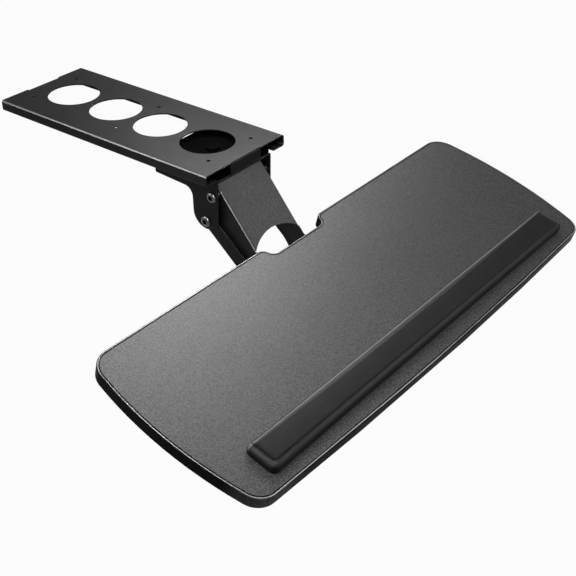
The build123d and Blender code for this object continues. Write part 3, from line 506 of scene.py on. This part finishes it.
def make_materials():
    """The finish of each slot in the record, and those of the edges and recesses."""
    made = {
        "buffer_rubber": rubber(),
        "zinc_plate": plated_steel(),
        "black_screw": blackened_steel(),
        "board_core": board_core(),
        "top_laminate": pebbled_laminate(),
        "edge_plastic": band_plastic(),
        "rim_top_highlight": rim_plastic(),
        "rest_skin": rest_skin(),
    }
    for name, colours, rough, bending in (
            ("track_paint", ("292929", "303030"), (0.40, 0.52), TRACK_IOR),
            ("black_paint", ("191919", "1e1e1e"), (0.38, 0.50), BLACK_IOR),
            # The carriage's paint, darker than the black paint as painted shade inside the track
            ("shaded_paint", ("080808", "0b0b0b"), (0.45, 0.55), SHADED_IOR),
            ("arm_paint", ("161616", "1a1a1a"), (0.40, 0.50), ARM_IOR)):
        made[name] = powder_coat(name, colours, rough, bending)
    for name, colours, bending in (
            # Painted highlights on the edges of the track and the arm
            ("track_edge_highlight", ("565656", "707070"), EDGE_IOR),
            # Lighter edges of the black brackets and links: paint worn thin, and a painted highlight
            ("black_edge_wear_and_highlight", ("2a2a2a", "3c3c3c"), PLASTIC_IOR),
            ("arm_edge_highlight", ("565656", "707070"), EDGE_IOR),
            # Near-black painted shade inside the recesses of bolts and screws
            ("socket_painted_shade", ("080808", "0e0e0e"), GROOVE_IOR),
            # Near-black painted shade of the groove round the tray's top sheet
            ("groove_painted_shade", ("090909", "101010"), GROOVE_IOR)):
        made[name] = painted_light_and_shade(name, colours, bending)
    for name, colours, rough in (
            ("black_nylon", ("191919", "212121"), (0.34, 0.46)),
            ("rest_base_plastic", ("1b1b1b", "222222"), (0.40, 0.52))):
        made[name] = moulded_plastic(name, colours, rough)
    return made


# Pieces

def slot_of(node):
    """The finish that the record gives a solid."""
    for entry in frame["record"]["subparts"]:
        if entry["node"] == node:
            return entry["material_slot"]
    raise KeyError(node)


def paint_solids():
    for name, solid in frame["nodes"].items():
        finish = MATERIALS[slot_of(name)]
        for place in solid.material_slots:
            place.material = finish
        if not solid.material_slots:
            solid.data.materials.append(finish)


def keep(piece, body, slot, *nodes):
    """A finished piece rides on its body and stands for its solids; the slot is not used."""
    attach(piece, body)
    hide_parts(*nodes)


def body_name(node):
    return frame["nodes"][node]["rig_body"]


def stand_for(piece, node):
    """The piece rides where its solid does and takes its place."""
    keep(piece, body_name(node), slot_of(node), node)


def settled_mesh(piece):
    """The piece's modifiers worked into a plain mesh."""
    mesh = bpy.data.meshes.new_from_object(piece.evaluated_get(bpy.context.evaluated_depsgraph_get()))
    mesh.name = piece.name
    piece.modifiers.clear()
    piece.data = mesh
    return mesh


def smooth_faces(mesh):
    for face in mesh.polygons:
        face.use_smooth = True


def merged_copy(node, name, *finishes):
    """A copy of a solid's mesh with its corners joined and its flat faces made whole."""
    mesh = frame["nodes"][node].data.copy()
    mesh.name = name
    mesh.materials.clear()
    shape = bmesh.new()
    shape.from_mesh(mesh)
    bmesh.ops.remove_doubles(shape, verts=shape.verts, dist=MERGE_DISTANCE)
    bmesh.ops.dissolve_limit(shape, angle_limit=FLAT_ANGLE, verts=shape.verts, edges=shape.edges)
    shape.to_mesh(mesh)
    shape.free()
    if mesh.attributes.get("custom_normal"):
        mesh.attributes.remove(mesh.attributes["custom_normal"])
    for finish in finishes:
        mesh.materials.append(MATERIALS[finish])
    return mesh


def round_off(piece, width, segments):
    """A live rounding of the sharp edges; returns it, so that a finish can be set for the new faces."""
    smooth_faces(piece.data)
    rounding = piece.modifiers.new("rounding", "BEVEL")
    rounding.width = width
    rounding.segments = segments
    rounding.limit_method = "ANGLE"
    rounding.angle_limit = EDGE_ANGLE
    rounding.use_clamp_overlap = True
    rounding.harden_normals = True
    return rounding


def rounded_copy(node, name, width, finish, edge, segments=3):
    """A copy of a solid with its sharp edges rounded, and with a finish of their own over them; where that
    finish is lighter, it is a painted highlight.
    """
    mesh = merged_copy(node, name, finish, edge)
    for face in mesh.polygons:
        face.material_index = 0
    piece = new_piece(name, mesh)
    round_off(piece, width, segments).material = 1
    return piece


def paint_fold_highlights(piece, up, cut_ends):
    """A painted highlight, the edge finish, on the outside of the lengthwise folds that lean up and to the
    side; the cut ends keep it or are painted plain.
    """
    for face in settled_mesh(piece).polygons:
        leaning = FOLD_LEAN[0] < abs(face.normal.x) < FOLD_LEAN[1] and face.normal.dot(up) > FOLD_LEAN[0]
        if leaning:
            face.material_index = 1
        elif not cut_ends:
            face.material_index = 0


def add_laminate_sheet():
    """The tray's top sheet, with a near-black ring inset round its top and dark sides: painted shade of the
    groove inside the band.
    """
    mesh = merged_copy("top_sheet", "laminate_sheet", "top_laminate", "groove_painted_shade")
    shape = bmesh.new()
    shape.from_mesh(mesh)
    shape.normal_update()
    level = max(vertex.co.dot(TRAY_UP) for vertex in shape.verts)
    # All but the inner top is painted near-black, as the groove's shade
    for face in shape.faces:
        face.material_index = 1
    top = [face for face in shape.faces if level - face.calc_center_median().dot(TRAY_UP) < LEVEL_TOLERANCE]
    bmesh.ops.inset_region(shape, faces=top, thickness=RIM_GROOVE, use_boundary=True, use_even_offset=True)
    for face in top:
        face.material_index = 0
    shape.to_mesh(mesh)
    shape.free()
    piece = new_piece("laminate_sheet", mesh)
    round_off(piece, SKIN_EDGE, segments=2)
    stand_for(piece, "top_sheet")


def add_rim_band():
    """The moulded band, black on its side, with its top painted lighter as a highlight."""
    mesh = merged_copy("edge_band", "rim_band", "edge_plastic", "rim_top_highlight")
    for face in mesh.polygons:
        face.material_index = 1 if face.normal.dot(TRAY_UP) > RIM_SLOPE else 0
    piece = new_piece("rim_band", mesh)
    round_off(piece, BAND_EDGE, segments=2)
    stand_for(piece, "edge_band")


def tuck_cover(mesh):
    """The cover's rear end reaches a little further up under the bracket, so that no gap shows."""
    rear = min(vertex.co.dot(COVER_ALONG) for vertex in mesh.vertices)
    for vertex in mesh.vertices:
        if vertex.co.dot(COVER_ALONG) - rear < LEVEL_TOLERANCE:
            vertex.co = vertex.co - COVER_ALONG * COVER_TUCK


def round_the_frame():
    """The folded sheet parts, the board and the base of the wrist rest."""
    # The lighter edge finish of the track and the arm is a painted highlight on their folds
    track = rounded_copy("track_plate", "track_pressing", SHEET_EDGE, "track_paint", "track_edge_highlight")
    paint_fold_highlights(track, up=Vector((0, 0, 1)), cut_ends=True)
    stand_for(track, "track_plate")
    arm = rounded_copy("upper_arm", "arm_pressing", FOLD_EDGE, "arm_paint", "arm_edge_highlight")
    tuck_cover(arm.data)
    paint_fold_highlights(arm, up=COVER_UP, cut_ends=False)
    stand_for(arm, "upper_arm")
    # The carriage takes the darker paint, painted shade inside the track
    carriage = rounded_copy("carriage_plate", "carriage_pressing", SHEET_EDGE, "shaded_paint", "shaded_paint")
    stand_for(carriage, "carriage_plate")
    # Their edges take a lighter finish: worn paint and a painted highlight
    for node, name in (("swivel_bracket", "swivel_pressing"), ("lower_link_left", "link_bar_left"),
                       ("lower_link_right", "link_bar_right"), ("front_link", "coupler_pressing"),
                       ("tilt_bracket", "tilt_pressing")):
        stand_for(rounded_copy(node, name, SHEET_EDGE, "black_paint", "black_edge_wear_and_highlight"), node)
    for node, name, finish in (("tray_board", "board", "board_core"),
                               ("rest_base", "rest_sole", "rest_base_plastic")):
        stand_for(rounded_copy(node, name, SKIN_EDGE, finish, finish, segments=2), node)


# Fasteners, made by one node tree that repeats a head at each point

def fastener_tree():
    """Domed heads with a hexagonal or a crossed recess and a shank, one at each point; the recess is painted
    near-black as shade.
    """
    tree = bpy.data.node_groups.new("fasteners", "GeometryNodeTree")
    tree.interface.new_socket("Geometry", in_out="INPUT", socket_type="NodeSocketGeometry")
    for kind, titles in (("NodeSocketFloat", ("Head Radius", "Head Height", "Rim Height", "Recess Radius",
                                              "Recess Depth", "Shank Radius", "Shank Length")),
                         ("NodeSocketBool", ("Crossed Recess",)),
                         ("NodeSocketMaterial", ("Finish", "Socket Finish"))):
        for title in titles:
            tree.interface.new_socket(title, in_out="INPUT", socket_type=kind)
    tree.interface.new_socket("Geometry", in_out="OUTPUT", socket_type="NodeSocketGeometry")
    given = tree.nodes.new("NodeGroupInput").outputs
    head_radius, head_height, rim_height = given["Head Radius"], given["Head Height"], given["Rim Height"]
    recess_radius, shank_length = given["Recess Radius"], given["Shank Length"]

    def first_output(kind, inputs=None, **settings):
        return add_node(tree, kind, inputs, **settings).outputs[0]

    def computed(operation, first, second=None):
        return first_output("ShaderNodeMath", {0: first, 1: second}, operation=operation)

    def vector(x=0.0, y=0.0, z=0.0):
        return first_output("ShaderNodeCombineXYZ", {"X": x, "Y": y, "Z": z})

    def raised(geometry, height):
        return first_output("GeometryNodeTransform", {"Geometry": geometry, "Translation": vector(z=height)})

    def cylinder(sides, rings, radius, depth):
        return first_output("GeometryNodeMeshCylinder", {"Vertices": sides, "Side Segments": 1,
                                                         "Fill Segments": rings,
                                                         "Radius": radius, "Depth": depth})

    def block(width, length, height):
        return first_output("GeometryNodeMeshCube", {"Size": vector(width, length, height)})

    def dressed(geometry, title):
        return first_output("GeometryNodeSetMaterial", {"Geometry": geometry, "Material": given[title]})

    middle = computed("MULTIPLY", head_height, 0.5)
    head = raised(cylinder(DOME_SIDES, DOME_RINGS, head_radius, head_height), middle)
    place = add_node(tree, "ShaderNodeSeparateXYZ", {0: first_output("GeometryNodeInputPosition")}).outputs
    x, y, z = place["X"], place["Y"], place["Z"]
    across = computed("SQRT", computed("ADD", computed("MULTIPLY", x, x), computed("MULTIPLY", y, y)))
    reach = computed("MINIMUM", computed("DIVIDE", across, head_radius), 1.0)
    fall = computed("SQRT", computed("SUBTRACT", 1.0, computed("MULTIPLY", reach, reach)))
    dome_height = computed("SUBTRACT", head_height, rim_height)
    crown = computed("ADD", rim_height, computed("MULTIPLY", fall, dome_height))
    top = computed("GREATER_THAN", z, middle)
    dome = first_output("GeometryNodeSetPosition", {"Geometry": head, "Selection": top,
                                                    "Position": vector(x, y, crown)})

    deep = computed("MULTIPLY", given["Recess Depth"], 2.0)
    hexagon = raised(cylinder(HEX_SIDES, 1, recess_radius, deep), head_height)
    arm = computed("MULTIPLY", recess_radius, 2.0)
    slot_width = computed("MULTIPLY", recess_radius, 2 * CROSS_SLOT_SHARE)
    arms = [block(arm, slot_width, deep), block(slot_width, arm, deep)]
    cross = raised(first_output("GeometryNodeMeshBoolean", {"Mesh 2": arms}, operation="UNION"), head_height)
    recess = first_output("GeometryNodeSwitch", {"Switch": given["Crossed Recess"],
                                                 "False": hexagon, "True": cross}, input_type="GEOMETRY")
    cut = first_output("GeometryNodeMeshBoolean", {"Mesh 1": dressed(dome, "Finish"),
                                                   "Mesh 2": dressed(recess, "Socket Finish")},
                       operation="DIFFERENCE")
    shank = raised(cylinder(DOME_SIDES // 2, 1, given["Shank Radius"], shank_length),
                   computed("MULTIPLY", shank_length, -0.5))
    whole = first_output("GeometryNodeJoinGeometry", {0: [cut, shank]})

    turn = add_node(tree, "GeometryNodeInputNamedAttribute", {"Name": "turn"}, data_type="FLOAT_VECTOR")
    repeated = first_output("GeometryNodeInstanceOnPoints", {"Points": given["Geometry"], "Instance": whole,
                                                             "Rotation": turn.outputs["Attribute"]})
    real = first_output("GeometryNodeRealizeInstances", {0: repeated})
    socket = first_output("GeometryNodeMaterialSelection", {"Material": given["Socket Finish"]})
    outside = first_output("FunctionNodeBooleanMath", {0: socket}, operation="NOT")
    finished = first_output("GeometryNodeSetMaterial", {"Geometry": real, "Selection": outside,
                                                        "Material": given["Finish"]})
    add_node(tree, "NodeGroupOutput", {0: finished})
    return tree


def fasteners(name, places, sizes, slot, body, nodes):
    """Heads at places, each (point, turn), made by the node tree and then made a plain mesh."""
    points = bpy.data.meshes.new(name)
    points.from_pydata([place for place, turn in places], [], [])
    turns = points.attributes.new("turn", "FLOAT_VECTOR", "POINT")
    for index, (place, turn) in enumerate(places):
        turns.data[index].vector = turn
    seed = new_piece(name + "_points", points)
    growth = seed.modifiers.new("fasteners", "NODES")
    growth.node_group = FASTENER_TREE
    sockets = {item.name: item.identifier for item in FASTENER_TREE.interface.items_tree
               if item.in_out == "INPUT"}
    height = sizes["Head Height"]
    shares = {"Rim Height": height * RIM_SHARE, "Recess Depth": height * RECESS_SHARE}
    # The recess takes the near-black painted shade
    finishes = {"Finish": MATERIALS[slot], "Socket Finish": MATERIALS["socket_painted_shade"]}
    for title, value in {**sizes, **shares, **finishes}.items():
        growth[sockets[title]] = value
    mesh = settled_mesh(seed)
    mesh.name = name
    bpy.data.objects.remove(seed)
    smooth_faces(mesh)
    mesh.set_sharp_from_angle(angle=EDGE_ANGLE)
    keep(new_piece(name, mesh), body, slot, *nodes)


def side_bolts(name, nodes):
    """Bolts along X with their heads outside, one for each solid, all of one length."""
    height = PIVOT_BOLT["Head Height"]
    places = []
    for node in nodes:
        low, high, middle = named_box(node)
        side = 1 if middle.x > 0 else -1
        seat = (high.x if side > 0 else low.x) - side * height
        places.append(((seat, middle.y, middle.z), (0, side * math.pi / 2, 0)))
        length = (high.x - low.x) - height
    sizes = {**PIVOT_BOLT, "Recess Radius": HEX_R, "Crossed Recess": False, "Shank Length": length}
    fasteners(name, places, sizes, "zinc_plate", body_name(nodes[0]), nodes)


def tray_screws(name, nodes, screw):
    """Screws that come up into the tray from below, square to its face, all of one length."""
    height = screw["Head Height"]
    places = []
    for node in nodes:
        heights = [vertex.co.dot(TRAY_UP) for vertex in frame["nodes"][node].data.vertices]
        middle = named_box(node)[2]
        seat = TRAY_ALONG * middle.dot(TRAY_ALONG) + TRAY_UP * (min(heights) + height)
        places.append(((middle.x, seat.y, seat.z), (TRAY_TILT + math.pi, 0, 0)))
        length = max(heights) - min(heights) - height
    sizes = {**screw, "Recess Radius": screw["Head Radius"] * CROSS_ARM_SHARE / 2,
             "Crossed Recess": True, "Shank Length": length}
    fasteners(name, places, sizes, "black_screw", "tray", nodes)


def add_fasteners():
    side_bolts("bracket_bolts", ["upper_pivot_bolt_left", "upper_pivot_bolt_right",
                                 "lower_pivot_bolt_left", "lower_pivot_bolt_right"])
    side_bolts("coupler_bolts", ["front_lower_bolt_left", "front_lower_bolt_right"])
    tray_screws("plate_screws", [f"plate_screw_{i}" for i in range(1, 7)], PLATE_SCREW)
    tray_screws("rest_screws", [f"rest_screw_{i}" for i in range(1, 5)], REST_SCREW)


# Hand knob, lobed by a rule round its axis

def add_knob():
    """A round hub, six lobes with rounded rims and a dished end."""
    low, high, middle = named_box("clamp_knob")
    length = high.x - low.x
    mean_r = (high.y - low.y) / 2 - KNOB_VALLEY / 2
    turns = [math.pi / 2 * step / KNOB_CROWN_STEPS for step in range(KNOB_CROWN_STEPS + 1)]
    # Each row: distance along the axis, mean radius, and how far the lobes show
    rows = [(0.0, KNOB_HUB_R, 0.0), (KNOB_HUB_LENGTH, KNOB_HUB_R, 0.0)]
    for turn in turns:
        rows.append((KNOB_HUB_LENGTH + KNOB_INNER_CROWN * (1 - math.cos(turn)),
                     mean_r - KNOB_INNER_CROWN * (1 - math.sin(turn)), 1.0))
    for turn in turns:
        rows.append((length - KNOB_CROWN * (1 - math.sin(turn)),
                     mean_r - KNOB_CROWN * (1 - math.cos(turn)), 1.0))
    rows.append((length, mean_r * KNOB_DISH_SHARE, KNOB_DISH_LOBED))
    rows.append((length - KNOB_DISH_DEPTH, mean_r * KNOB_DISH_FLOOR_SHARE, 0.0))
    shape = bmesh.new()
    rings = []
    for x, r, lobed in rows:
        ring = []
        for step in range(KNOB_STEPS):
            turn = 2 * math.pi * step / KNOB_STEPS
            radius = r + lobed * KNOB_VALLEY / 2 * math.cos(KNOB_LOBES * turn)
            ring.append(shape.verts.new((low.x + x, middle.y + radius * math.sin(turn),
                                         middle.z + radius * math.cos(turn))))
        rings.append(ring)
    for first, second in zip(rings, rings[1:]):
        for step in range(KNOB_STEPS):
            after = (step + 1) % KNOB_STEPS
            shape.faces.new((first[step], first[after], second[after], second[step]))
    shape.faces.new(rings[0])
    shape.faces.new(reversed(rings[-1]))
    bmesh.ops.recalc_face_normals(shape, faces=shape.faces)
    mesh = bpy.data.meshes.new("hand_knob")
    shape.to_mesh(mesh)
    shape.free()
    smooth_faces(mesh)
    mesh.set_sharp_from_angle(angle=EDGE_ANGLE)
    mesh.materials.append(MATERIALS["black_nylon"])
    stand_for(new_piece("hand_knob", mesh), "clamp_knob")


# Wrist rest

def add_rest_pad():
    """The padded bar: a slightly smaller copy of its solid, swollen as cloth, smoothed and creased."""
    mesh = merged_copy("rest_pad", "rest_cushion")
    shape = bmesh.new()
    shape.from_mesh(mesh)
    bmesh.ops.triangulate(shape, faces=shape.faces)
    shape.normal_update()
    shape.to_mesh(mesh)
    shape.free()
    pad = new_piece("rest_cushion", mesh)
    body = pad.modifiers.new("body", "REMESH")
    body.mode = "VOXEL"
    body.voxel_size = REST_VOXEL
    made = settled_mesh(pad)
    sole = min(vertex.co.dot(TRAY_UP) for vertex in made.vertices)
    start = []
    for vertex in made.vertices:
        if vertex.co.dot(TRAY_UP) - sole > REST_SOLE:
            vertex.co = vertex.co - vertex.normal * REST_SHRINK
        start.append(vertex.co.copy())
    swell(pad, start, sole)
    smooth = pad.modifiers.new("smooth", "SUBSURF")
    smooth.levels = 1
    smooth.render_levels = 1
    fine = settled_mesh(pad)
    crease_rim(fine)
    smooth_faces(fine)
    fine.materials.clear()
    fine.materials.append(MATERIALS["rest_skin"])
    stand_for(pad, "rest_pad")


def swell(pad, start, sole):
    """Air pressure fills the cover, held along its foot, and no point moves further than the cap."""
    held = pad.vertex_groups.new(name="held")
    foot = [v.index for v in pad.data.vertices if v.co.dot(TRAY_UP) - sole <= REST_SOLE * 2]
    held.add(foot, 1.0, "REPLACE")
    cloth = pad.modifiers.new("cloth", "CLOTH")
    settings = cloth.settings
    settings.use_pressure = True
    settings.uniform_pressure_force = REST_PRESSURE
    settings.quality = REST_QUALITY
    settings.vertex_group_mass = "held"
    settings.effector_weights.gravity = 0
    cloth.collision_settings.use_collision = False
    scene = bpy.context.scene
    for number in range(1, REST_FRAMES + 1):
        scene.frame_set(number)
    evaluated = pad.evaluated_get(bpy.context.evaluated_depsgraph_get())
    swollen = [vertex.co.copy() for vertex in evaluated.data.vertices]
    pad.modifiers.remove(cloth)
    for vertex, before, after in zip(pad.data.vertices, start, swollen):
        move = after - before
        if move.length > REST_CAP:
            move = move.normalized() * REST_CAP
        vertex.co = before + move
    scene.frame_set(1)


def hump(distance, width):
    """One at no distance, falling off smoothly over the width."""
    return math.exp(-(distance / width) ** 2)


def crease_rim(mesh):
    """A fine crease inside the rolled rim at the front and ends, pressed in and painted dark as shade, and a
    painted highlight along the back edge and on the rolled rim.
    """
    low, high, middle = named_box("rest_pad")
    half = (high.x - low.x) / 2
    rows = [vertex.co.dot(TRAY_ALONG) for vertex in mesh.vertices]
    front, back = min(rows), max(rows)
    facing = [vertex.normal.dot(TRAY_UP) for vertex in mesh.vertices]
    crease = mesh.attributes.new("crease", "FLOAT", "POINT")
    painted_highlight = mesh.attributes.new("painted_highlight", "FLOAT", "POINT")
    for vertex, row, up in zip(mesh.vertices, rows, facing):
        side = half - abs(vertex.co.x - middle.x)
        ahead = row - front
        inside = min(side, ahead)
        corner_x, corner_y = CREASE_CORNER + CREASE_INSET - side, CREASE_CORNER + CREASE_INSET - ahead
        if corner_x > 0 and corner_y > 0:
            inside = CREASE_CORNER + CREASE_INSET - math.hypot(corner_x, corner_y)
        on_top = min(max((up - TOP_SLOPE) / (1 - TOP_SLOPE) * TOP_FADE, 0.0), 1.0)
        line = hump(inside - CREASE_INSET, CREASE_WIDTH) * on_top
        crease.data[vertex.index].value = line
        edge = hump(back - row - BACK_EDGE_INSET, BACK_EDGE_WIDTH) if up > 0 else 0.0
        roll = hump(inside - ROLL_INSET, ROLL_WIDTH) * ROLL_SHARE if up > 0 else 0.0
        painted_highlight.data[vertex.index].value = max(edge, roll)
        vertex.co = vertex.co - TRAY_UP * CREASE_DEPTH * line


def tray_tilt():
    """The turn about X of the tray at rest, from the largest face of its top sheet."""
    mesh = frame["nodes"]["top_sheet"].data
    largest = max(mesh.polygons, key=lambda face: face.area)
    normal = largest.normal if largest.normal.z > 0 else -largest.normal
    return math.atan2(-normal.y, normal.z)


# The tray's own directions at rest
TRAY_TILT = tray_tilt()
TRAY_ALONG = Vector((0, math.cos(TRAY_TILT), math.sin(TRAY_TILT)))
TRAY_UP = Vector((0, -math.sin(TRAY_TILT), math.cos(TRAY_TILT)))

bpy.context.scene.view_settings.view_transform = "Standard"
add_camera()
add_world()
add_floor()
for lamp in LAMPS:
    add_lamp(*lamp)
MATERIALS = make_materials()
paint_solids()
FASTENER_TREE = fastener_tree()
round_the_frame()
add_laminate_sheet()
add_rim_band()
add_fasteners()
add_knob()
add_rest_pad()
